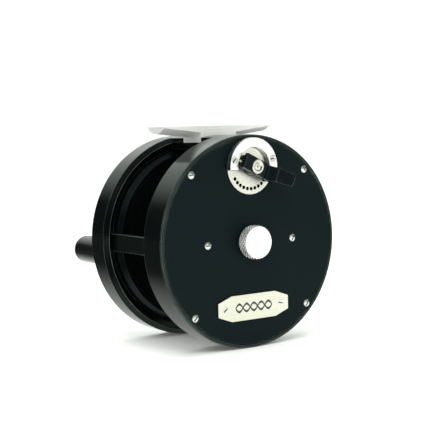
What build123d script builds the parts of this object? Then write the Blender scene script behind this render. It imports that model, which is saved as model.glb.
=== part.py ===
from build123d import *
import math
import os

# Fly reel with a lever-set drum brake, held in a one-piece cage. All sizes in millimetres.
# The shapes are drawn about the spool axis: X along the rod, Y back from the drag-side face
# along the spool axis, Z up. Each one is then moved so that the origin is the centre of the
# foot's top face, where the reel meets the rod.

os.makedirs("parts", exist_ok=True)

# Cage
ring_radius = 50.0
ring_bore = 47.6
web_bore = 43.6
lip_bevel = 2.2
cage_width = 63.2
front_ring_width = 14.1
rear_ring_front = 51.7
step_depth = 1.5
edge_break = 0.4
pillar_radius = 46.0
pillar_width = 8.4
pillar_root_radius = 2.5
pillar_edge_break = 0.4
bridge_half_width = 10.3
bridge_inner_radius = 47.5
bridge_edge_break = 0.5
rib_half_width = 8.4
rib_inner_radius = 44.2

# Side plates
plate_radius = 48.25
plate_edge_break = 0.35
plate_seat_radius = 48.5
plate_thickness = 3.0
plate_screw_circle = 45.97
plate_screw_head = 1.75
yoke_screw_offset = 24.5

# Foot
foot_length = 61.6
foot_width = 15.0
foot_centre = 31.8
foot_top = 54.5
foot_tip_thickness = 3.2
foot_root_thickness = 5.7
foot_underside_radius = 12.1
foot_block_bottom = 46.6
foot_screw_offset = 4.5
foot_screw_head = 2.6
foot_screw_shank = 1.4

# Spool and shaft
flange_radius = 43.2
flange_lip_radius = 41.5
skirt_bore = 41.0
arbor_radius = 16.0
line_space_front = 17.6
line_space_rear = 48.2
front_skirt_edge = 8.6
rear_skirt_edge = 57.0
shaft_radius = 4.0
journal_radius = 3.0
shaft_square = 5.6
shaft_thread_radius = 2.4
running_gap = 0.05
rear_bush_radius = 6.0
front_bush_radius = 4.5

# Brake
drum_bore = 39.2
drum_front = 5.2
drum_back = 14.8
shoe_outer = 37.4
shoe_inner = 33.4
lining_outer = 38.9
shoe_front = 5.5
shoe_back = 12.5
anchor_x = 5.5
anchor_z = -34.3
anchor_radius = 2.0
toe_gap = 3.4
cam_radius = 3.3
cam_lift = 0.48
spring_height = 29.0
lug_x = 11.7
lug_hole = 1.2
lining_half_angle = 62.0

# Drag lever and its index plate
lever_height = 35.1
lever_rest_angle = -26.0
lever_travel = 120.5
lever_half_width = 3.55
index_radius = 13.4
index_bore = 9.1
disc_radius = 12.9
index_face = -0.5
arch_face = -3.7
arch_below_pivot = 1.1
detent_circle = 10.3
detent_radius = 0.85
detent_depth = 1.0
detent_first = -148.5
detent_pitch = 12.05
detent_count = 11
arch_screw_x = 11.0
arch_screw_z = 3.4
arch_screw_head = 1.75
arch_screw_shank = 0.9
cam_shaft_radius = 3.0
button_radius = 3.3

# Knurled bearing cap
cap_radius = 8.0
cap_face = -5.9
cap_edge_break = 0.6
cap_back = -0.35
boss_radius = 5.5
boss_face = -3.6

# Name plate
label_height = -30.4
label_half_length = 20.3
label_half_width = 6.0
label_thickness = 0.8
label_screw_x = 16.0

# Click
gear_radius = 11.5
gear_root = 10.4
gear_teeth = 30
gear_front = 52.9
gear_back = 54.9
pawl_post_z = -18.5
pawl_tip_gap = 0.15

# Crank
grip_radius_from_axis = 35.6
crank_angle = 192.0
crank_front = 64.3
crank_back = 68.3
grip_front = 70.4
grip_back = 98.0
grip_radius = 6.87
grip_post_radius = 2.5
counterweight_reach = 21.0


def turned(*profile):
    """A solid turned about the spool axis from (radius, y) corners."""
    return revolve(make_face(Polyline(*profile, close=True)), Axis.Y)


def plate(outline, near, far):
    """A sheet between two stations on Y. Its outline is drawn as seen from the drag side."""
    return Pos(0, far, 0) * Rot(90, 0, 0) * extrude(outline, far - near)


def rod(radius, near, far, x=0.0, z=0.0):
    """A round bar parallel to the spool axis."""
    return plate(Pos(x, z) * Circle(radius), near, far)


def tube(outer, inner, near, far, x=0.0, z=0.0):
    """A round sleeve parallel to the spool axis."""
    return rod(outer, near, far, x, z) - rod(inner, near - 1, far + 1, x, z)


def block(x0, x1, y0, y1, z0, z1):
    """A box between two corners."""
    size = Box(x1 - x0, y1 - y0, z1 - z0)
    return Pos((x0 + x1) / 2, (y0 + y1) / 2, (z0 + z1) / 2) * size


def about_axis(shape, degrees):
    """Turn a shape about the spool axis, anticlockwise as seen from the drag side."""
    return Rot(0, -degrees, 0) * shape


def save(name, shape):
    """Move a finished piece into the foot's frame and write it."""
    export_step(Pos(0, -foot_centre, -foot_top) * shape, "parts/" + name + ".step")


def joined(shapes):
    """Several separate solids as one piece."""
    return Compound(children=[solid for shape in shapes for solid in shape.solids()])


# --- Screws -------------------------------------------------------------------------------

def slotted_screw(head, shank, length, dome, slot_angle=0.0, slot=0.55, slot_depth=0.5):
    """A countersunk screw along +Y with its head's rim at y=0 and a dome in front of it."""
    cone = 0.7 * (head - shank)
    if dome > 0:
        crown = ThreePointArc((0, -dome), (0.55 * head, -0.72 * dome), (head, 0))
        side = Polyline((head, 0), (shank, cone), (shank, length), (0, length), (0, -dome))
        body = revolve(make_face(crown + side), Axis.Y)
    else:
        body = turned((0, 0), (head, 0), (shank, cone), (shank, length), (0, length))
    cut = block(-head - 1, head + 1, -dome - 1, slot_depth - dome, -slot / 2, slot / 2)
    return about_axis(body - cut, slot_angle)


def screw_seat(head, shank, length):
    """The countersunk hole that takes a slotted screw."""
    cone = 0.7 * (head - shank)
    return turned((0, -1), (head, -1), (head, 0), (shank, cone), (shank, length), (0, length))


def ring_of_places(radius, angles):
    """Places (x, z) on a circle about the spool axis."""
    return [(radius * math.cos(math.radians(a)), radius * math.sin(math.radians(a))) for a in angles]


plate_screw_places = ring_of_places(plate_screw_circle, (45, 135, 225, 315))
plate_screw_slots = (-48, 8, 47, 62)
yoke_screw_places = ((-yoke_screw_offset, 0), (yoke_screw_offset, 0))
yoke_screw_slots = (6, 66)


# --- Cage ---------------------------------------------------------------------------------

def cage_ring(outer_face, inner_face):
    """One end ring: a plate seat at its outer face, a bevelled lip and a web at its inner face."""
    inward = 1 if inner_face > outer_face else -1
    seat = outer_face + inward * plate_thickness
    step = inner_face - inward * step_depth
    return turned(
        (plate_seat_radius, outer_face),
        (ring_radius - edge_break, outer_face),
        (ring_radius, outer_face + inward * edge_break),
        (ring_radius, inner_face),
        (ring_radius - lip_bevel, inner_face + inward * lip_bevel),
        (ring_bore, inner_face + inward * lip_bevel),
        (ring_bore, step),
        (web_bore, step),
        (web_bore, seat),
        (plate_seat_radius, seat),
    )


def pillar(angle):
    """A flat pillar between the ring webs, with a rounded root at each end."""
    near = front_ring_width - step_depth
    far = rear_ring_front + step_depth
    half = pillar_width / 2
    wide = half + pillar_root_radius
    bar = block(web_bore - 2, pillar_radius + 0.05, near - 0.6, far + 0.6, -half, half)
    shape = chamfer(bar.edges().filter_by(Axis.Y).group_by(Axis.X)[-1], pillar_edge_break)
    for face, inward in ((near, 1), (far, -1)):
        tangent = face + inward * pillar_root_radius
        low, high = sorted((face - inward * 0.6, tangent))
        root = block(web_bore - 2, ring_radius, low, high, -wide, wide)
        for side in (-1, 1):
            hollow = Cylinder(pillar_root_radius, 20, rotation=(0, 90, 0))
            root -= Pos(web_bore, tangent, side * wide) * hollow
        shape += root
    return about_axis(shape & tube(pillar_radius, web_bore, near - 1, far + 1), angle)


def bridge():
    """The arched bar that joins the rings at the top and carries the foot."""
    near = front_ring_width - step_depth - 0.6
    far = rear_ring_front + step_depth + 0.6
    band = block(-bridge_half_width, bridge_half_width, near + 2, far - 2, 30, 60)
    band &= tube(ring_radius, bridge_inner_radius, near, far)
    band = chamfer(band.edges().filter_by(Axis.Y).group_by(Axis.Z)[0], bridge_edge_break)
    rib = block(-rib_half_width, rib_half_width, near, far, 30, 60)
    rib &= tube(bridge_inner_radius + 0.5, rib_inner_radius, near, far)
    half = foot_width / 2
    notch = block(-20, 20, foot_centre - half, foot_centre + half, foot_block_bottom, 60)
    return band + rib - notch


def foot_screw_places():
    return ((-foot_screw_offset, foot_centre), (foot_screw_offset, foot_centre))


def upright(shape):
    """Stand a screw drawn along +Y on end, with its head down."""
    return Rot(90, 0, 0) * shape


def cage():
    body = cage_ring(0, front_ring_width) + cage_ring(cage_width, rear_ring_front)
    for angle in (0, 180, 270):
        body += pillar(angle)
    body += bridge()
    for x, z in plate_screw_places:
        body -= rod(1.2, 2, 9.0, x, z)
        body -= rod(1.2, cage_width - 9.0, cage_width - 2, x, z)
    for x, y in foot_screw_places():
        body -= Pos(x, y, 44.6) * upright(screw_seat(foot_screw_head, foot_screw_shank, 4))
    return body


# --- Side plates --------------------------------------------------------------------------

def drag_plate():
    """The drag-side plate, with the boss that carries the front bush."""
    disc = turned(
        (0, 0), (plate_radius - plate_edge_break, 0), (plate_radius, plate_edge_break),
        (plate_radius, plate_thickness), (0, plate_thickness),
    )
    disc += rod(boss_radius, boss_face, 1) + rod(boss_radius + 1, 2, 7.0)
    disc -= rod(front_bush_radius, -10, 10)
    disc -= rod(cam_shaft_radius + running_gap, -1, 5, 0, lever_height)
    for x, z in plate_screw_places:
        disc -= Pos(x, 0, z) * screw_seat(plate_screw_head, 1.25, 5)
    for x, z in yoke_screw_places:
        disc -= Pos(x, 0, z) * screw_seat(plate_screw_head, 1.25, 5)
    for side in (-1, 1):
        disc -= rod(anchor_radius, 1.2, 4, side * anchor_x, anchor_z)
        disc -= rod(0.9, -1, 2.4, side * arch_screw_x, lever_height + arch_screw_z)
        disc -= rod(0.9, -1, 2.4, side * label_screw_x, label_height)
    disc -= rod(0.9, -1, 2.4, index_screw_x, index_screw_z)
    for x, z in detent_places():
        disc -= rod(detent_radius, -1, detent_depth, x, z)
    return disc


def handle_plate():
    """The handle-side plate, with the boss that carries the rear bush."""
    inner = cage_width - plate_thickness
    disc = turned(
        (0, inner), (plate_radius, inner), (plate_radius, cage_width - plate_edge_break),
        (plate_radius - plate_edge_break, cage_width), (0, cage_width),
    )
    disc += rod(rear_bush_radius + 2.5, 56.9, inner + 1)
    disc -= rod(rear_bush_radius, 50, 70)
    for x, z in plate_screw_places:
        seat = Rot(0, 0, 180) * screw_seat(plate_screw_head, 1.25, 5)
        disc -= Pos(x, cage_width, z) * seat
    disc -= rod(1.5, inner - 1, inner + 1.8, 0, pawl_post_z)
    disc -= rod(1.2, inner - 1, inner + 1.8, spring_post_x, spring_post_z)
    return disc


def plate_screws(angles=plate_screw_slots):
    return [
        Pos(x, 0, z) * slotted_screw(plate_screw_head, 1.2, 8.8, 0.55, angle)
        for (x, z), angle in zip(plate_screw_places, angles)
    ]


def handle_plate_screws():
    turn = Pos(0, cage_width, 0) * Rot(0, 0, 180)
    return [turn * screw for screw in plate_screws((20, 75, -30, 50))]


def bearing_yoke():
    """The bar behind the drag plate that ties the boss to the two middle screws."""
    bar = SlotOverall(2 * yoke_screw_offset + 10, 17)
    yoke = plate(bar, plate_thickness, plate_thickness + 2.4)
    yoke -= rod(boss_radius + 1.05, 0, 9)
    for x, z in yoke_screw_places:
        yoke -= rod(1.2, 0, 9, x, z)
    return yoke


def yoke_screws():
    return [
        Pos(x, 0, z) * slotted_screw(plate_screw_head, 1.2, 5.2, 0.55, angle)
        for (x, z), angle in zip(yoke_screw_places, yoke_screw_slots)
    ]


# --- Name plate ---------------------------------------------------------------------------

def label_outline(inset=0.0):
    """A long octagon about the origin, shrunk by an inset."""
    x, z = label_half_length - inset, label_half_width - inset
    corner_x, corner_z = 7.65 - 0.35 * inset, 2.8 - 0.35 * inset
    quarter = ((x, z - corner_z), (x - corner_x, z))
    right = [quarter[0], quarter[1]]
    left = [(-px, pz) for px, pz in reversed(right)]
    below = [(-px, -pz) for px, pz in right + left]
    return make_face(Polyline(*right, *left, *below, close=True))


def wave(height, half_length=10.6, waves=2.5, width=1.1):
    """One engraved wave line. Its crests are as high as the given height."""
    steps = 30
    crest = []
    for i in range(steps + 1):
        x = -half_length + 2 * half_length * i / steps
        crest.append((x, height * math.sin(2 * math.pi * waves * i / steps)))
    upper = Spline(*[(x, z + width / 2) for x, z in crest])
    lower = Spline(*[(x, z - width / 2) for x, z in crest])
    ends = Line(upper @ 0, lower @ 0) + Line(upper @ 1, lower @ 1)
    return make_face(upper + lower + ends)


def label_engraving():
    """Two crossing wave lines, like a twisted cord, sunk into the name plate."""
    lines = Pos(0, label_height) * (wave(1.8) + wave(-1.8))
    return plate(lines, -label_thickness, -label_thickness + 0.25)


def name_plate():
    body = plate(Pos(0, label_height) * label_outline(), -label_thickness, 0)
    body -= label_engraving()
    for side in (-1, 1):
        seat = screw_seat(1.5, 0.9, 5)
        body -= Pos(side * label_screw_x, -label_thickness, label_height) * seat
    return body


def name_plate_screws():
    return [
        Pos(side * label_screw_x, -label_thickness, label_height)
        * slotted_screw(1.5, 0.9, 3.1, 0, angle)
        for side, angle in ((-1, 35), (1, -12))
    ]


# --- Index plate and drag lever -----------------------------------------------------------

index_screw_x = -5.3
index_screw_z = lever_height + 3.8


def detent_places():
    angles = [detent_first + detent_pitch * i for i in range(detent_count)]
    return [(x, lever_height + z) for x, z in ring_of_places(detent_circle, angles)]


def index_plate():
    """The flat disc under the lever, with one detent hole for each brake setting."""
    disc = rod(disc_radius, index_face, 0, 0, lever_height)
    disc -= rod(cam_shaft_radius + 0.1, -5, 5, 0, lever_height)
    for x, z in detent_places():
        disc -= rod(detent_radius, -5, 5, x, z)
    for side in (-1, 1):
        disc -= rod(0.9, -5, 5, side * arch_screw_x, lever_height + arch_screw_z)
    disc -= rod(0.9, -5, 5, index_screw_x, index_screw_z)
    return disc


def index_arch():
    """The raised half ring over the index plate."""
    half = Circle(index_radius) - Circle(index_bore)
    half &= Pos(0, index_radius - arch_below_pivot) * Rectangle(30, 2 * index_radius)
    arch = plate(Pos(0, lever_height) * half, arch_face, index_face)
    for side in (-1, 1):
        seat = screw_seat(arch_screw_head, arch_screw_shank, 5)
        arch -= Pos(side * arch_screw_x, arch_face, lever_height + arch_screw_z) * seat
    return arch


def arch_screws():
    return [
        Pos(side * arch_screw_x, arch_face, lever_height + arch_screw_z)
        * slotted_screw(arch_screw_head, arch_screw_shank, 6.0, 0, angle)
        for side, angle in ((-1, 48), (1, 12))
    ]


def index_plate_screw():
    """The low cheese-head screw that holds the index plate inside the arch."""
    head = rod(1.75, index_face - 2.6, index_face) + rod(0.9, index_face - 0.5, 2.2)
    slot = block(-3, 3, index_face - 3, index_face - 1.9, -0.3, 0.3)
    screw = head - about_axis(slot, 4)
    return Pos(index_screw_x, 0, index_screw_z) * screw


def on_lever(shape):
    """Place a shape drawn about the lever's pivot, along +X, at the lever's rest angle."""
    return Pos(0, 0, lever_height) * about_axis(shape, lever_rest_angle)


lever_tail = -7.4
lever_under = -4.2
lever_foot = index_face - 0.15
lever_foot_half_width = 2.6
lever_face = -6.6
lever_face_end = 4.8
lever_body_end = 11.6
thumb_tip_x = 16.4
thumb_tip_y = -14.6


def lever_profile():
    """The lever seen edge on: X along the arm, Y back towards the plate."""
    corners = (
        (lever_face_end, lever_face), (lever_tail, lever_face), (lever_tail, lever_under),
        (7.6, lever_under), (8.2, lever_foot), (lever_body_end, lever_foot), (lever_body_end, -7.0),
        (11.0, -9.4), (thumb_tip_x + 0.8, thumb_tip_y + 0.9), (thumb_tip_x, thumb_tip_y),
        (9.3, -10.4), (8.5, -8.0),
    )
    hollow = ThreePointArc((8.5, -8.0), (6.7, -6.0), (lever_face_end, lever_face))
    return make_face(Polyline(*corners) + hollow)


def lever_plan():
    """The lever seen from the front: parallel sides that taper along the thumb piece."""
    half = lever_half_width
    tip = 2.7
    corners = (
        (lever_tail, half), (9.0, half), (thumb_tip_x + 1, tip),
        (thumb_tip_x + 1, -tip), (9.0, -half), (lever_tail, -half),
    )
    return make_face(Polyline(*corners, close=True))


def drag_lever():
    side = Pos(0, 0, -10) * extrude(lever_profile(), 20)
    body = side & plate(lever_plan(), -20, 5)
    body += rod(3.9, lever_under - 1, lever_foot)
    relief = block(7.6, 13, arch_face - 0.5, 0, lever_foot_half_width, 6)
    body -= relief + mirror(relief, Plane.XY)
    body -= rod(cam_shaft_radius, -4.6, 5)
    body -= rod(1.55, -10, 0)
    body -= rod(button_radius + 0.03, -10, lever_face + 0.45)
    body -= rod(1.05, -6.2, 0, *pin_place())
    return on_lever(body)


def pin_place():
    """The index pin's place in the lever's own frame, over the last detent hole."""
    last = detent_first + detent_pitch * (detent_count - 1)
    return ring_of_places(detent_circle, (last - lever_rest_angle,))[0]


def index_pin():
    """The round-nosed pin that rides over the detent holes."""
    x, z = pin_place()
    centre = index_face - 1.05
    nose = Pos(x, centre, z) * Sphere(0.95)
    return on_lever(nose + rod(0.95, centre - 2.0, centre, x, z))


def lever_button():
    """The dished head of the screw that clamps the lever to the cam shaft."""
    head = turned((0, -6.2), (0.35, -6.2), (0.35, -6.5), (1.7, -6.45), (2.2, -6.95),
                  (button_radius - 0.25, -6.95), (button_radius, -6.7),
                  (button_radius, -6.17), (1.5, -6.17), (1.5, 0.4), (0, 0.4))
    return on_lever(head)


def cam_outline():
    """A two-lobed cam. Its radius grows evenly over the lever's travel."""
    points = []
    step = 15
    for angle in range(0, 180, step):
        if angle <= lever_travel:
            lift = cam_lift * angle / lever_travel
        else:
            lift = cam_lift * (180 - angle) / (180 - lever_travel)
        points.append((cam_radius + lift, angle))
    points += [(radius, angle + 180) for radius, angle in points]
    places = [ring_of_places(radius, (angle,))[0] for radius, angle in points]
    return make_face(Spline(*places, periodic=True))


def brake_cam():
    """The cam that spreads the shoes, on the shaft that the lever turns."""
    body = rod(cam_shaft_radius, -4.6, shoe_front + 0.2)
    body += plate(cam_outline(), shoe_front, shoe_back)
    body -= rod(1.5, -6, 0.5)
    return Pos(0, 0, lever_height) * body


# --- Brake --------------------------------------------------------------------------------

def shoe(side):
    """One brake shoe: an arc from its anchor eye to the toe beside the cam."""
    arc = tube(shoe_outer, shoe_inner, shoe_front, shoe_back)
    keep = block(toe_gap, 60, 0, 20, anchor_z, 60)
    arc &= keep if side > 0 else Rot(0, 0, 180) * Pos(0, -20, 0) * keep
    eye = rod(3.6, shoe_front, shoe_back, side * anchor_x, anchor_z)
    lug = rod(lug_hole + 0.9, 8.4, 9.6, side * lug_x, spring_height)
    stem = block(*sorted((side * 10.2, side * 13.2)), 8.4, 9.6, spring_height, 32.6)
    body = arc + eye + lug + stem
    body -= rod(anchor_radius + running_gap, 0, 20, side * anchor_x, anchor_z)
    body -= rod(lug_hole, 0, 20, side * lug_x, spring_height)
    return body


def lining(side):
    """The friction strip bonded round the outside of a shoe."""
    strip = tube(lining_outer, shoe_outer, shoe_front + 0.4, shoe_back - 0.4)
    reach = 60
    height = reach * math.sin(math.radians(lining_half_angle))
    width = reach * math.cos(math.radians(lining_half_angle))
    wedge = make_face(Polyline((0, 0), (width, height), (reach, height), (reach, -height),
                               (width, -height), close=True))
    return about_axis(strip & plate(wedge, 0, 20), 0 if side > 0 else 180)


def anchor_pins():
    """The shouldered pins that the shoes swing on."""
    return [
        rod(anchor_radius, 1.2, 13.3, side * anchor_x, anchor_z)
        + rod(3.2, plate_thickness, shoe_front - 0.2, side * anchor_x, anchor_z)
        for side in (-1, 1)
    ]


def coil(mean_radius, wire_radius, pitch, length):
    """A coil of round wire along +Z."""
    path = Helix(pitch, length, mean_radius)
    section = Plane(origin=path @ 0, z_dir=path % 0) * Circle(wire_radius)
    return sweep(section, path=path)


def return_spring():
    """The spring that draws the shoes in, with a loop through each shoe's lug."""
    half = 7.4
    wire = 0.25
    mean = 1.6
    loop_radius = 1.6
    loop_x = lug_x - 1.4
    spring = Pos(-half, 0, 0) * Rot(0, 90, 0) * coil(mean, wire, 0.95, 2 * half)
    ends = (Vector(-half, 0, -mean), Vector(half, 0, -mean))
    for side, end in zip((-1, 1), ends):
        loop = Pos(side * loop_x, 0, 0) * Torus(loop_radius, wire)
        bar = Line(end, (side * (loop_x - loop_radius), 0, 0))
        link = sweep(Plane(origin=bar @ 0, z_dir=bar % 0) * Circle(wire), path=bar)
        bead = Pos(*tuple(end)) * Sphere(1.5 * wire)
        spring += link + loop + bead
    return Pos(0, 9.0, spring_height) * spring


# --- Spool --------------------------------------------------------------------------------

def spool():
    """Arbor and flanges in one piece, with a skirt that runs inside each ring."""
    return turned(
        (shaft_radius, 14.0), (7.0, 14.0), (7.0, drum_back), (skirt_bore, drum_back),
        (skirt_bore, front_skirt_edge), (flange_radius - 0.3, front_skirt_edge),
        (flange_radius, front_skirt_edge + 0.3), (flange_radius, line_space_front - 1.9),
        (flange_lip_radius, line_space_front), (arbor_radius, line_space_front),
        (arbor_radius, line_space_rear), (flange_lip_radius, line_space_rear),
        (flange_radius, line_space_rear + 1.9), (flange_radius, rear_skirt_edge - 0.3),
        (flange_radius - 0.3, rear_skirt_edge), (skirt_bore, rear_skirt_edge),
        (skirt_bore, 51.0), (13.0, 51.0), (13.0, 20.0), (7.0, 20.0), (7.0, gear_front),
        (shaft_radius, gear_front),
    )


def shaft():
    body = rod(journal_radius, -2.4, 7.5) + rod(shaft_radius, 7.2, 64.0)
    body += plate(Rectangle(shaft_square, shaft_square), 63.5, crank_back)
    body += rod(shaft_thread_radius, crank_back - 1, 73.4)
    return about_axis(body, crank_angle)


def click_gear():
    """The toothed wheel that the click pawl rides on."""
    corners = []
    for i in range(gear_teeth):
        middle = 360.0 * i / gear_teeth + 90
        corners += ring_of_places(gear_root, (middle - 180.0 / gear_teeth,))
        corners += ring_of_places(gear_radius, (middle - 1.2, middle + 1.2))
    wheel = make_face(Polyline(*corners, close=True)) - Circle(shaft_radius)
    return plate(wheel, gear_front, gear_back)


spring_post_x = -11.5
spring_post_z = pawl_post_z - 3.9


def click_pawl():
    """A pawl with its nose towards the gear and a flat tail on the spring."""
    reach = -pawl_post_z - gear_radius - pawl_tip_gap
    nose = make_face(Polyline((-2.6, 0.8), (-0.5, reach), (0.5, reach), (2.6, 0.8), close=True))
    tail = Pos(0, -1.5) * Rectangle(6.0, 3.4)
    outline = Circle(2.9) + nose + tail - Circle(1.5 + running_gap)
    return plate(Pos(0, pawl_post_z) * outline, gear_front, gear_back)


def click_spring():
    """The leaf spring that centres the pawl."""
    leaf_z = pawl_post_z - 3.5
    leaf = block(spring_post_x, 8.0, gear_front + 0.2, gear_back - 0.2, leaf_z - 0.35, leaf_z)
    eye = rod(1.8, gear_front + 0.2, gear_back - 0.2, spring_post_x, spring_post_z)
    return leaf + eye - rod(1.2, gear_front, gear_back, spring_post_x, spring_post_z)


def pawl_post():
    return rod(1.5, gear_front - 0.5, cage_width - 1.2, 0, pawl_post_z)


def click_spring_post():
    return rod(1.2, gear_front - 0.2, cage_width - 1.2, spring_post_x, spring_post_z)


# --- Crank and grip -----------------------------------------------------------------------

def crank():
    """A tapered arm with a round counterweight end."""
    hub = Circle(9.0)
    tip = Pos(grip_radius_from_axis, 0) * Circle(6.2)
    heel = Pos(-counterweight_reach, 0) * Circle(8.0)
    outline = make_hull((hub + tip).edges()) + make_hull((hub + heel).edges())
    arm = plate(outline, crank_front, crank_back)
    for face in (arm.faces().sort_by(Axis.Y)[0], arm.faces().sort_by(Axis.Y)[-1]):
        arm = chamfer(face.edges(), 0.5)
    arm -= plate(Rectangle(shaft_square, shaft_square), 60, 75)
    arm -= rod(grip_post_radius, 60, 75, grip_radius_from_axis, 0)
    return about_axis(arm, crank_angle)


def thrust_washer():
    return tube(7.0, shaft_radius, cage_width + 0.2, crank_front)


def crank_nut():
    """The domed hexagon nut that holds the crank on the shaft's square."""
    nut = plate(RegularPolygon(5.2, 6, major_radius=False), crank_back, 72.6)
    nut &= turned((0, 60), (5.6, 60), (5.6, 71.8), (4.6, 73.0), (0, 73.0))
    return about_axis(nut - rod(shaft_thread_radius, 60, 80), crank_angle)


def at_grip(shape):
    """Place a shape drawn about the spool axis at the grip's own axis."""
    x, z = ring_of_places(grip_radius_from_axis, (crank_angle,))[0]
    return Pos(x, 0, z) * shape


def grip_post():
    """The fixed post the grip turns on, with a shoulder against the crank."""
    body = rod(grip_post_radius, crank_front, grip_back - 1.0)
    return at_grip(body + rod(4.2, crank_back, grip_front - 0.25))


def grip():
    """The turning grip: a barrel a little fuller at its middle, with rounded ends."""
    inner = grip_post_radius + running_gap
    radius = grip_radius
    swell = ThreePointArc((radius - 0.1, grip_front + 1.2),
                          (radius + 0.12, (grip_front + grip_back) / 2),
                          (radius, grip_back - 1.2))
    front_round = ThreePointArc((radius - 1.3, grip_front), (radius - 0.45, grip_front + 0.35),
                                (radius - 0.1, grip_front + 1.2))
    back_round = ThreePointArc((radius, grip_back - 1.2), (radius - 0.35, grip_back - 0.35),
                               (radius - 1.2, grip_back))
    rest = Polyline((radius - 1.2, grip_back), (4.6, grip_back), (4.6, grip_back - 2.2),
                    (inner, grip_back - 2.2), (inner, grip_front), (radius - 1.3, grip_front))
    return at_grip(revolve(make_face(front_round + swell + back_round + rest), Axis.Y))


def grip_screw():
    """The slotted cap screw that keeps the grip on its post."""
    head = rod(4.3, grip_back - 1.0, grip_back - 0.3)
    head -= block(-6, 6, grip_back - 0.7, grip_back + 1, -0.4, 0.4)
    return at_grip(head)


# --- Bushes, brake drum, foot and bearing cap ---------------------------------------------

def front_bush():
    return tube(front_bush_radius, journal_radius + running_gap, -2.6, 7.0)


def rear_bush():
    return tube(rear_bush_radius, shaft_radius + running_gap, 56.9, cage_width)


def brake_drum():
    """The steel ring inside the front skirt that the shoes press on."""
    return turned(
        (drum_bore, drum_front), (skirt_bore, drum_front), (skirt_bore, drum_back),
        (drum_bore, drum_back),
    )


def foot_arm():
    """One arm along +X: flat on top, with a round underside that rises towards the tip."""
    half = foot_length / 2
    width = foot_width / 2
    tip = foot_top - foot_tip_thickness
    root = foot_top - foot_root_thickness
    slab = block(0, half, foot_centre - width, foot_centre + width, root - 2, foot_top)
    slope = math.degrees(math.atan2(tip - root, half - bridge_half_width))
    middle = Vector((half + bridge_half_width) / 2, foot_centre, (tip + root) / 2)
    barrel = Rot(0, 90 - slope, 0) * Cylinder(foot_underside_radius, 2 * foot_length)
    arm = slab & Pos(*middle) * barrel.moved(Pos(0, 0, foot_underside_radius))
    corners = arm.edges().filter_by(Axis.Z).group_by(Axis.X)[-1]
    return fillet(corners, 1.0)


def reel_foot():
    """A block let into the bridge, with a tapered arm each way."""
    half = foot_width / 2
    arm = foot_arm()
    body = block(-bridge_half_width, bridge_half_width, foot_centre - half, foot_centre + half,
                 foot_block_bottom, foot_top)
    body += arm + mirror(arm, Plane.YZ)
    for x, y in foot_screw_places():
        body -= Pos(x, y, 44.6) * upright(screw_seat(foot_screw_head, foot_screw_shank, 7.4))
    return body


def foot_screws():
    return [
        Pos(x, y, 44.6)
        * upright(slotted_screw(foot_screw_head, foot_screw_shank, 7.2, 0, angle, 0.7))
        for (x, y), angle in zip(foot_screw_places(), (20, 65))
    ]


def bearing_cap():
    """The round cap that screws on the boss and sets the spool's end play."""
    return turned(
        (0, cap_face), (cap_radius - cap_edge_break, cap_face), (cap_radius, cap_face + cap_edge_break),
        (cap_radius, cap_back - 0.3), (cap_radius - 0.3, cap_back),
        (boss_radius + running_gap, cap_back), (boss_radius + running_gap, boss_face - 0.3),
        (0, boss_face - 0.3),
    )


pieces = {
    "cage": cage(),
    "drag_side_plate": drag_plate(),
    "drag_plate_screws": joined(plate_screws()),
    "bearing_yoke": bearing_yoke(),
    "yoke_screws": joined(yoke_screws()),
    "handle_side_plate": handle_plate(),
    "handle_plate_screws": joined(handle_plate_screws()),
    "name_plate": name_plate(),
    "name_plate_enamel": joined([label_engraving()]),
    "name_plate_screws": joined(name_plate_screws()),
    "index_plate": index_plate(),
    "index_plate_screw": index_plate_screw(),
    "index_arch": index_arch(),
    "index_arch_screws": joined(arch_screws()),
    "reel_foot": reel_foot(),
    "foot_screws": joined(foot_screws()),
    "front_bush": front_bush(),
    "rear_bush": rear_bush(),
    "brake_anchor_pins": joined(anchor_pins()),
    "brake_return_spring": return_spring(),
    "click_pawl_post": pawl_post(),
    "click_spring": click_spring(),
    "click_spring_post": click_spring_post(),
    "bearing_cap": bearing_cap(),
    "drag_lever": drag_lever(),
    "lever_button": lever_button(),
    "index_pin": index_pin(),
    "brake_cam": brake_cam(),
    "left_brake_shoe": shoe(-1),
    "left_shoe_lining": lining(-1),
    "right_brake_shoe": shoe(1),
    "right_shoe_lining": lining(1),
    "spool": spool(),
    "spool_shaft": shaft(),
    "brake_drum": brake_drum(),
    "click_gear": click_gear(),
    "thrust_washer": thrust_washer(),
    "crank": crank(),
    "crank_nut": crank_nut(),
    "grip_post": grip_post(),
    "grip_screw": grip_screw(),
    "handle_grip": grip(),
    "click_pawl": click_pawl(),
}

for name, shape in pieces.items():
    save(name, shape)
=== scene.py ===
import math

import bmesh
import bpy
from mathutils import Matrix, Vector


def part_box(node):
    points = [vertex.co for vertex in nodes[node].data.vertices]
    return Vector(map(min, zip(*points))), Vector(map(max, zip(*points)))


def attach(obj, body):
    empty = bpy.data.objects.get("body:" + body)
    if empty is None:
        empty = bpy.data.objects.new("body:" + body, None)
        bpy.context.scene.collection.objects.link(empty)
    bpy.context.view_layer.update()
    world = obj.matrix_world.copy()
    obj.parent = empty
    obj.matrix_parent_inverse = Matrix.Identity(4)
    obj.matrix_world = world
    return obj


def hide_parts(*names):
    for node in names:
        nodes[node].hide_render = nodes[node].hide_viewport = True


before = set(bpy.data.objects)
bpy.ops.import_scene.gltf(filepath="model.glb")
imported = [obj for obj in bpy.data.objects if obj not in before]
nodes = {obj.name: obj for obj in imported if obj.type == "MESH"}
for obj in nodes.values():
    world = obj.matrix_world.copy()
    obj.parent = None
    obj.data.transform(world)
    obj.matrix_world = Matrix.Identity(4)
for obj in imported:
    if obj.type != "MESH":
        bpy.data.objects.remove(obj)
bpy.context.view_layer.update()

MM = 0.001

# --- Places worked out from the frame -------------------------------------------------------

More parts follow.
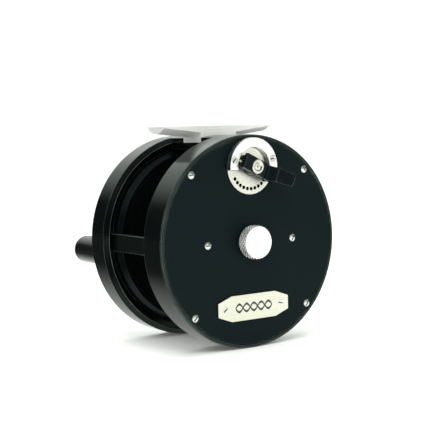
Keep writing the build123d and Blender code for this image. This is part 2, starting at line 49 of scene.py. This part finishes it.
cap_low, cap_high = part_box("bearing_cap")
cage_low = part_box("cage")[0]
grip_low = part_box("handle_grip")[0]


def centre(corners):
    low, high = corners
    return (low + high) / 2


spool_axis = centre((cap_low, cap_high))
lever_axis = centre(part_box("lever_button"))
grip_axis = centre(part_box("handle_grip"))
floor_z = min(cage_low.z, grip_low.z)


# --- Node helpers ---------------------------------------------------------------------------

def put(tree, socket, value):
    """Set a socket to a constant, or link another node's output to it."""
    if isinstance(value, bpy.types.NodeSocket):
        tree.links.new(value, socket)
    else:
        socket.default_value = value


def node(tree, kind, inputs=None, **settings):
    """Add a shader node. An input is a value, or another node's output to link."""
    made = tree.nodes.new("ShaderNode" + kind)
    for name, value in settings.items():
        setattr(made, name, value)
    for name, value in (inputs or {}).items():
        put(tree, made.inputs[name], value)
    return made


def maths(tree, operation, first, second=0.0):
    return node(tree, "Math", {0: first, 1: second}, operation=operation).outputs[0]


def dot(tree, first, second):
    both = {0: first, 1: second}
    return node(tree, "VectorMath", both, operation="DOT_PRODUCT").outputs["Value"]


def component(tree, vector, index):
    return node(tree, "SeparateXYZ", {0: vector}).outputs[index]


def remap(tree, value, low, high, to_low, to_high, interpolation="LINEAR"):
    """Clamp a value to a range and stretch it to another."""
    ranges = {"Value": value, "From Min": low, "From Max": high, "To Min": to_low, "To Max": to_high}
    return node(tree, "MapRange", ranges, interpolation_type=interpolation).outputs[0]


def ease(tree, value, low, high, to_low, to_high):
    """The same as remap, with soft ends."""
    return remap(tree, value, low, high, to_low, to_high, "SMOOTHSTEP")


def mix_value(tree, factor, first, second):
    return node(tree, "Mix", {0: factor, 2: first, 3: second}, data_type="FLOAT").outputs[0]


def mix_colour(tree, factor, first, second):
    return node(tree, "Mix", {0: factor, 6: first, 7: second}, data_type="RGBA").outputs[2]


def colour(red, green, blue):
    return (red, green, blue, 1.0)


def noise(tree, vector, scale, detail=3.0, roughness=0.55):
    inputs = {"Vector": vector, "Scale": scale, "Detail": detail, "Roughness": roughness}
    return node(tree, "TexNoise", inputs).outputs[0]


def object_place(tree):
    return node(tree, "TexCoord").outputs["Object"]


def turned_grain(tree, axis, across, along):
    """Fine lathe marks round an axis along Y."""
    place = node(tree, "SeparateXYZ", {0: object_place(tree)})
    dx = maths(tree, "SUBTRACT", place.outputs[0], axis.x)
    dz = maths(tree, "SUBTRACT", place.outputs[2], axis.z)
    flat = node(tree, "CombineXYZ", {0: dx, 2: dz}).outputs[0]
    radius = node(tree, "VectorMath", {0: flat}, operation="LENGTH").outputs["Value"]
    unit = node(tree, "VectorMath", {0: flat}, operation="NORMALIZE").outputs[0]
    split = node(tree, "SeparateXYZ", {0: unit})
    vector = node(tree, "CombineXYZ", {
        0: maths(tree, "MULTIPLY", radius, across),
        1: maths(tree, "MULTIPLY", split.outputs[0], along),
        2: maths(tree, "MULTIPLY", split.outputs[2], along),
    }).outputs[0]
    depth = maths(tree, "MULTIPLY", place.outputs[1], across)
    inputs = {"Vector": vector, "W": depth, "Scale": 1.0, "Detail": 3.0}
    return node(tree, "TexNoise", inputs, noise_dimensions="4D").outputs[0]


def brushed_grain(tree, scale):
    """Straight brush marks, long along the axis whose scale is small."""
    vector = node(tree, "Mapping", {"Vector": object_place(tree), "Scale": scale}).outputs[0]
    return noise(tree, vector, 1.0, 4.0)


def rounded_edges(tree, radius):
    return node(tree, "Bevel", {"Radius": radius}, samples=4).outputs[0]


def edge_mask(tree, soft_normal):
    """Near one on the corners that handling wears, nought on the faces."""
    true_normal = node(tree, "NewGeometry").outputs["Normal"]
    return remap(tree, dot(tree, soft_normal, true_normal), 0.995, 0.9, 0.0, 1.0)


def crevices(tree, distance):
    """Near one down in slots and corners, where light is lost and oily dirt collects."""
    open_sky = node(tree, "AmbientOcclusion", {"Distance": distance}, samples=8).outputs["AO"]
    return remap(tree, open_sky, 0.93, 0.5, 0.0, 1.0)


def bumped(tree, height, distance, strength, normal):
    inputs = {"Height": height, "Distance": distance, "Strength": strength, "Normal": normal}
    return node(tree, "Bump", inputs).outputs[0]


def new_material(name):
    material = bpy.data.materials.new(name)
    material.use_nodes = True
    return material, material.node_tree, material.node_tree.nodes["Principled BSDF"]


def feed(tree, shader, **sockets):
    """Set or link a shader's sockets by name."""
    for name, value in sockets.items():
        put(tree, shader.inputs[name.replace("_", " ")], value)


# --- Materials ------------------------------------------------------------------------------

def anodised(name, grain_axis, tint=(0.0035, 0.0062, 0.0068), sheen=(0.75, 0.97, 1.0), roughness=0.3,
             level=0.3, grain=900.0, wear=0.12):
    """Black anodised aluminium: turned marks, faint handling marks, corners rubbed to bare metal."""
    material, tree, shader = new_material(name)
    lines = turned_grain(tree, grain_axis, grain * 4, 2.2)
    mottle = noise(tree, object_place(tree), 55.0, 4.0)
    specks = noise(tree, object_place(tree), 2600.0, 2.0)
    soft = rounded_edges(tree, 0.22 * MM)
    rubbed = maths(tree, "MULTIPLY", edge_mask(tree, soft), remap(tree, mottle, 0.35, 0.65, 0.25, 1.0))
    base = mix_colour(tree, mottle, colour(*[c * 0.75 for c in tint]), colour(*[c * 1.35 for c in tint]))
    exposed = maths(tree, "SUBTRACT", 1.0, crevices(tree, 0.8 * MM))
    bare = maths(tree, "MULTIPLY", maths(tree, "MULTIPLY", rubbed, exposed), wear)
    base = mix_colour(tree, bare, base, colour(0.62, 0.72, 0.7))
    rough = remap(tree, mottle, 0.3, 0.7, roughness - 0.04, roughness + 0.05)
    rough = maths(tree, "ADD", rough, remap(tree, lines, 0.35, 0.65, -0.03, 0.03))
    normal = bumped(tree, lines, 0.006 * MM, 0.25, soft)
    normal = bumped(tree, specks, 0.004 * MM, 0.2, normal)
    feed(tree, shader, Base_Color=base, Metallic=bare, Roughness=rough, Normal=normal,
         Specular_IOR_Level=level, Specular_Tint=colour(*sheen))
    return material


def bare_metal(name, grain, pale, dark, roughness, spread=0.07, depth=0.01, rounding=0.12, stain=70.0,
               metallic=1.0, oil_and_shade=0.0):
    """A silver metal. Its grain is a function that draws the tool marks in a node tree."""
    material, tree, shader = new_material(name)
    lines = grain(tree)
    mottle = noise(tree, object_place(tree), stain, 4.0)
    soft = rounded_edges(tree, rounding * MM)
    base = mix_colour(tree, remap(tree, mottle, 0.3, 0.7, 0.0, 1.0), colour(*dark), colour(*pale))
    shade = remap(tree, lines, 0.3, 0.7, 0.0, 0.35)
    base = mix_colour(tree, shade, base, colour(*[c * 0.82 for c in dark]))
    base = mix_colour(tree, edge_mask(tree, soft), base, colour(*[min(1.0, c * 1.05) for c in pale]))
    # Painted shade: slots, knurl grooves and metal tucked under other parts are darkened, part oil and part
    # the shade that falls there.
    oil_and_painted_shade = maths(tree, "MULTIPLY", crevices(tree, 0.9 * MM), oil_and_shade)
    base = mix_colour(tree, oil_and_painted_shade, base, colour(0.012, 0.012, 0.011))
    rough = remap(tree, lines, 0.25, 0.75, roughness - spread, roughness + spread)
    rough = maths(tree, "ADD", rough, remap(tree, mottle, 0.3, 0.7, -0.03, 0.04))
    normal = bumped(tree, lines, depth * MM, 0.3, soft)
    feed(tree, shader, Base_Color=base, Metallic=metallic, Roughness=rough, Normal=normal)
    return material


def spun(axis, across=3500.0, along=2.0):
    return lambda tree: turned_grain(tree, axis, across, along)


def brushed(*scale):
    return lambda tree: brushed_grain(tree, scale)


def brake_lining():
    material, tree, shader = new_material("brake_lining")
    fibres = brushed_grain(tree, (900.0, 260.0, 900.0))
    pores = noise(tree, object_place(tree), 1400.0, 5.0)
    base = mix_colour(tree, fibres, colour(0.12, 0.065, 0.03), colour(0.3, 0.18, 0.09))
    normal = bumped(tree, pores, 0.05 * MM, 0.5, rounded_edges(tree, 0.1 * MM))
    rough = remap(tree, pores, 0.3, 0.7, 0.55, 0.8)
    feed(tree, shader, Base_Color=base, Roughness=rough, Normal=normal)
    return material


def black_enamel():
    material, tree, shader = new_material("black_enamel")
    pits = noise(tree, object_place(tree), 3000.0, 3.0)
    base = mix_colour(tree, pits, colour(0.012, 0.012, 0.013), colour(0.03, 0.03, 0.032))
    rough = remap(tree, pits, 0.3, 0.7, 0.3, 0.5)
    normal = bumped(tree, pits, 0.01 * MM, 0.3, rounded_edges(tree, 0.05 * MM))
    feed(tree, shader, Base_Color=base, Roughness=rough, Normal=normal)
    return material


def grip_rubber():
    """Polished black hard rubber with fine hairline scratches."""
    material, tree, shader = new_material("grip_black")
    hairlines = turned_grain(tree, grip_axis, 2600.0, 1.5)
    mottle = noise(tree, object_place(tree), 90.0, 4.0)
    base = mix_colour(tree, mottle, colour(0.002, 0.0026, 0.0026), colour(0.006, 0.007, 0.007))
    rough = remap(tree, mottle, 0.3, 0.7, 0.16, 0.26)
    rough = maths(tree, "ADD", rough, remap(tree, hairlines, 0.4, 0.6, -0.02, 0.03))
    normal = bumped(tree, hairlines, 0.005 * MM, 0.2, rounded_edges(tree, 0.2 * MM))
    feed(tree, shader, Base_Color=base, Roughness=rough, Normal=normal, Specular_IOR_Level=0.45)
    return material


finishes = {
    "plate_black": anodised("plate_black", spool_axis, (0.003, 0.0065, 0.0075), roughness=0.42,
                            level=0.065, wear=0.35),
    "ring_black": anodised("ring_black", spool_axis, (0.0016, 0.0025, 0.0026), (0.72, 0.97, 0.82),
                           roughness=0.15, level=0.28, wear=0.7),
    "spool_black": anodised("spool_black", spool_axis, (0.0014, 0.0022, 0.0024), roughness=0.26, level=0.26),
    "lever_black": anodised("lever_black", lever_axis, (0.0026, 0.0044, 0.0048), (0.75, 0.95, 1.0),
                            roughness=0.3, level=0.12, wear=0.32),
    "crank_black": anodised("crank_black", spool_axis, (0.0015, 0.0024, 0.0026), roughness=0.26, level=0.3),
    "grip_black": grip_rubber(),
    "screw_steel": bare_metal("screw_steel", brushed(2600.0, 900.0, 2600.0), (0.66, 0.67, 0.63),
                              (0.5, 0.51, 0.47), 0.24, oil_and_shade=1.0),
    "button_steel": bare_metal("button_steel", spun(lever_axis), (0.7, 0.7, 0.63), (0.58, 0.58, 0.51), 0.2,
                               oil_and_shade=0.9),
    "cap_silver": bare_metal("cap_silver", spun(spool_axis), (0.97, 0.97, 0.95),
                             (0.93, 0.93, 0.9), 0.28, rounding=0.03, metallic=0.68, oil_and_shade=1.0),
    "label_silver": bare_metal("label_silver", brushed(130.0, 2500.0, 5200.0),
                               (0.66, 0.655, 0.55), (0.59, 0.585, 0.49), 0.34),
    "disc_silver": bare_metal("disc_silver", spun(lever_axis, 2600.0), (0.76, 0.75, 0.67),
                              (0.64, 0.63, 0.56), 0.3, oil_and_shade=0.9),
    "arch_silver": bare_metal("arch_silver", spun(lever_axis, 3000.0), (0.97, 0.97, 0.95),
                              (0.9, 0.9, 0.88), 0.3),
    "foot_silver": bare_metal("foot_silver", brushed(150.0, 2600.0, 2600.0), (0.93, 0.92, 0.91),
                              (0.87, 0.86, 0.85), 0.5, metallic=0.4),
    "yoke_alloy": bare_metal("yoke_alloy", brushed(160.0, 2000.0, 2000.0), (0.7, 0.7, 0.7),
                             (0.6, 0.6, 0.6), 0.35),
    "shoe_alloy": bare_metal("shoe_alloy", spun(spool_axis), (0.72, 0.72, 0.71), (0.6, 0.6, 0.6), 0.38),
    "hard_steel": bare_metal("hard_steel", spun(spool_axis), (0.6, 0.6, 0.61), (0.5, 0.5, 0.51), 0.25),
    "spring_steel": bare_metal("spring_steel", brushed(900.0, 900.0, 900.0), (0.38, 0.38, 0.42),
                               (0.26, 0.26, 0.3), 0.3),
    "bronze": bare_metal("bronze", spun(spool_axis), (0.78, 0.55, 0.3), (0.62, 0.42, 0.22), 0.32),
    "brake_lining": brake_lining(),
    "black_enamel": black_enamel(),
}

dressed = {
    "plate_black": ("drag_side_plate", "handle_side_plate"),
    "ring_black": ("cage",),
    "spool_black": ("spool",),
    "lever_black": ("drag_lever",),
    "crank_black": ("crank",),
    "grip_black": ("handle_grip",),
    "screw_steel": ("drag_plate_screws", "handle_plate_screws", "yoke_screws", "name_plate_screws",
                    "index_plate_screw", "index_arch_screws", "foot_screws", "grip_screw", "crank_nut"),
    "button_steel": ("lever_button",),
    "label_silver": ("name_plate",),
    "disc_silver": ("index_plate",),
    "arch_silver": ("index_arch",),
    "foot_silver": ("reel_foot",),
    "yoke_alloy": ("bearing_yoke",),
    "shoe_alloy": ("left_brake_shoe", "right_brake_shoe"),
    "hard_steel": ("spool_shaft", "brake_cam", "brake_anchor_pins", "click_gear", "click_pawl",
                   "click_pawl_post", "click_spring_post", "grip_post", "index_pin", "brake_drum"),
    "spring_steel": ("brake_return_spring", "click_spring"),
    "bronze": ("front_bush", "rear_bush", "thrust_washer"),
    "brake_lining": ("left_shoe_lining", "right_shoe_lining"),
    "black_enamel": ("name_plate_enamel",),
}


def dress(piece, material):
    piece.data.materials.clear()
    piece.data.materials.append(material)


for finish, names in dressed.items():
    for name in names:
        dress(nodes[name], finishes[finish])


# --- Knurled bearing cap --------------------------------------------------------------------

KNURLS = 28
KNURL_STEPS = 8
KNURL_DEPTH = 0.65 * MM
KNURL_MARGIN = 0.45 * MM
HOLLOW_RADIUS = 5.6 * MM
HOLLOW_DEPTH = 0.3 * MM


def ridge(turns):
    """One across a ridge's crest, nought in its groove."""
    return abs(2 * (turns % 1.0) - 1)


def knurled_cap():
    """The cap with a diamond knurl: two crossing sets of helical grooves."""
    radius = (cap_high.x - cap_low.x) / 2
    face = cap_low.y
    back = cap_high.y
    pitch = 2 * math.pi * radius / KNURLS
    rows = []

    def row(r, y, cut=0.0):
        rows.append((r, y, cut))

    for r in (0.12, 0.35, 0.6, 0.8):
        row(r * radius, face)
    row(radius - 0.7 * MM, face)
    row(radius - 0.6 * MM, face + 0.04 * MM)
    row(radius - 0.3 * MM, face + 0.25 * MM, 0.3)
    start = face + KNURL_MARGIN
    stop = back - KNURL_MARGIN
    count = round((stop - start) / pitch * KNURL_STEPS)
    for i in range(count + 1):
        row(radius, start + (stop - start) * i / count, 1.0)
    row(radius - 0.45 * MM, back - 0.05 * MM, 0.3)
    row(radius - 0.6 * MM, back)
    row(HOLLOW_RADIUS, back)
    row(HOLLOW_RADIUS, back - HOLLOW_DEPTH)

    mesh = bmesh.new()
    steps = KNURLS * KNURL_STEPS
    rings = []
    for r, y, cut in rows:
        ring = []
        for i in range(steps):
            turn = i / KNURL_STEPS
            rise = min(ridge(turn + y / pitch), ridge(turn - y / pitch))
            reach = r - cut * KNURL_DEPTH * (1 - rise)
            angle = 2 * math.pi * i / steps
            place = (spool_axis.x + reach * math.cos(angle), y, spool_axis.z + reach * math.sin(angle))
            ring.append(mesh.verts.new(place))
        rings.append(ring)
    for first, second in zip(rings, rings[1:]):
        for i in range(steps):
            j = (i + 1) % steps
            mesh.faces.new((first[i], first[j], second[j], second[i]))
    for ring, y in ((rings[0], face), (rings[-1], back - HOLLOW_DEPTH)):
        hub = mesh.verts.new((spool_axis.x, y, spool_axis.z))
        for i in range(steps):
            mesh.faces.new((hub, ring[(i + 1) % steps], ring[i]))
    bmesh.ops.recalc_face_normals(mesh, faces=mesh.faces)
    data = bpy.data.meshes.new("knurled_cap")
    mesh.to_mesh(data)
    mesh.free()
    cap = bpy.data.objects.new("knurled_cap", data)
    bpy.context.scene.collection.objects.link(cap)
    dress(cap, finishes["cap_silver"])
    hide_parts("bearing_cap")
    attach(cap, "bearing_cap")


knurled_cap()


# --- Studio ---------------------------------------------------------------------------------

OVERHEAD_STRENGTH = 1.5
ROOM_AMBIENT = 0.04
BACKDROP_STRENGTH = 1.2
FLOOR_SIZE = 12.0
FLOOR_GLOW = 0.1
FLOOR_MIRRORED_GLOW = 0.33
LIGHT_AIM = (0, 0, -0.05)


def direction(azimuth, elevation):
    """A unit vector. Azimuth nought is +X and a quarter turn is +Y."""
    a, e = math.radians(azimuth), math.radians(elevation)
    return Vector((math.cos(a) * math.cos(e), math.sin(a) * math.cos(e), math.sin(e)))


def lobe(tree, way, toward, narrow, wide, strength):
    """Light from one side of the room, fading away from its centre."""
    edge, core = math.cos(math.radians(wide)), math.cos(math.radians(narrow))
    return ease(tree, dot(tree, way, toward), edge, core, 0.0, strength)


def studio_room():
    """A white room: bright overhead, in front and behind, with dark openings at the sides."""
    world = bpy.data.worlds.new("studio")
    bpy.context.scene.world = world
    world.use_nodes = True
    tree = world.node_tree
    back = tree.nodes["Background"]
    way = node(tree, "TexCoord").outputs["Generated"]
    height = component(tree, way, 2)
    overhead = ease(tree, height, 0.29, 0.56, 0.0, OVERHEAD_STRENGTH)
    zenith = remap(tree, height, 0.7, 0.97, 1.0, 0.4)
    overhead = maths(tree, "MULTIPLY", overhead, zenith)
    # Reflections see less of the overhead light toward the front. Diffuse light is left alone.
    rearward = remap(tree, component(tree, way, 1), -0.45, 0.1, 0.1, 1.0)
    reflected = node(tree, "LightPath").outputs["Is Glossy Ray"]
    rearward = mix_value(tree, reflected, 1.0, rearward)
    overhead = maths(tree, "MULTIPLY", overhead, rearward)
    front = lobe(tree, way, direction(-80, 0), 5, 48, 1.2)
    behind = lobe(tree, way, direction(50, 5), 20, 50, 0.9)
    light = maths(tree, "ADD", maths(tree, "ADD", overhead, front), behind)
    light = maths(tree, "ADD", light, ROOM_AMBIENT)
    seen = node(tree, "LightPath").outputs["Is Camera Ray"]
    strength = mix_value(tree, seen, light, BACKDROP_STRENGTH)
    back.inputs["Color"].default_value = colour(0.95, 1.0, 0.96)
    tree.links.new(strength, back.inputs["Strength"])


def studio_floor():
    """A wide pale table top. Reflections see it lit only under the reel and in front of it."""
    bpy.ops.mesh.primitive_plane_add(size=FLOOR_SIZE, location=(0, 0, floor_z))
    floor = bpy.context.object
    floor.name = "studio_floor"
    material, tree, shader = new_material("studio_floor")
    place = node(tree, "NewGeometry").outputs["Position"]
    under_reel = {0: place, 1: (spool_axis.x, 0, floor_z)}
    flat = node(tree, "VectorMath", under_reel, operation="SUBTRACT").outputs[0]
    aside = maths(tree, "ABSOLUTE", component(tree, flat, 0))
    near = ease(tree, aside, 0.102, 0.014, 0.03, 1.0)
    outward = node(tree, "VectorMath", {0: flat}, operation="NORMALIZE").outputs[0]
    front = lobe(tree, outward, direction(-75, 0), 40, 100, 1.0)
    lit = maths(tree, "MAXIMUM", near, front)
    reflected = node(tree, "LightPath").outputs["Is Glossy Ray"]
    shade = mix_value(tree, reflected, 1.0, lit)
    dust = noise(tree, place, 30.0, 3.0)
    white = mix_colour(tree, dust, colour(0.88, 0.885, 0.87), colour(0.92, 0.925, 0.91))
    base = mix_colour(tree, shade, colour(0.0, 0.0, 0.0), white)
    rough = remap(tree, dust, 0.3, 0.7, 0.5, 0.62)
    mirrored_glow = maths(tree, "MULTIPLY", lit, FLOOR_MIRRORED_GLOW)
    glow = mix_value(tree, reflected, FLOOR_GLOW, mirrored_glow)
    feed(tree, shader, Base_Color=base, Roughness=rough, Specular_IOR_Level=0.1,
         Emission_Color=colour(1.0, 1.0, 0.98), Emission_Strength=glow)
    dress(floor, material)


def softbox(name, place, size, power):
    """A soft light that the bright metal does not mirror."""
    data = bpy.data.lights.new(name, "AREA")
    data.shape = "RECTANGLE"
    data.size, data.size_y = size
    data.energy = power
    light = bpy.data.objects.new(name, data)
    light.location = place
    light.rotation_euler = (Vector(LIGHT_AIM) - Vector(place)).to_track_quat("-Z", "Y").to_euler()
    light.visible_glossy = False
    bpy.context.scene.collection.objects.link(light)


def camera():
    """A short telephoto, a little above the spool and left of the front."""
    azimuth, elevation, roll = math.radians(-35.14), math.radians(4.85), math.radians(-1.55)
    place = Vector((spool_axis.x - 0.31207, cage_low.y - 0.42159, spool_axis.z + 0.0531))
    backward = Vector((math.sin(azimuth) * math.cos(elevation),
                       -math.cos(azimuth) * math.cos(elevation), math.sin(elevation)))
    right = (-backward).cross(Vector((0, 0, 1))).normalized()
    up = right.cross(-backward)
    turned_right = right * math.cos(roll) + up * math.sin(roll)
    turned_up = up * math.cos(roll) - right * math.sin(roll)
    data = bpy.data.cameras.new("camera")
    data.lens = 90.7
    data.sensor_width = 36.0
    data.clip_start = 0.01
    made = bpy.data.objects.new("camera", data)
    rotation = Matrix((turned_right, turned_up, backward)).transposed()
    made.matrix_world = Matrix.Translation(place) @ rotation.to_4x4()
    bpy.context.scene.collection.objects.link(made)
    bpy.context.scene.camera = made


studio_room()
studio_floor()
softbox("key", (-0.5, -0.7, 0.9), (0.6, 0.6), 6.0)
softbox("top", (0.0, 0.15, 0.9), (0.8, 0.8), 6.0)
camera()
bpy.context.scene.view_settings.view_transform = "Standard"
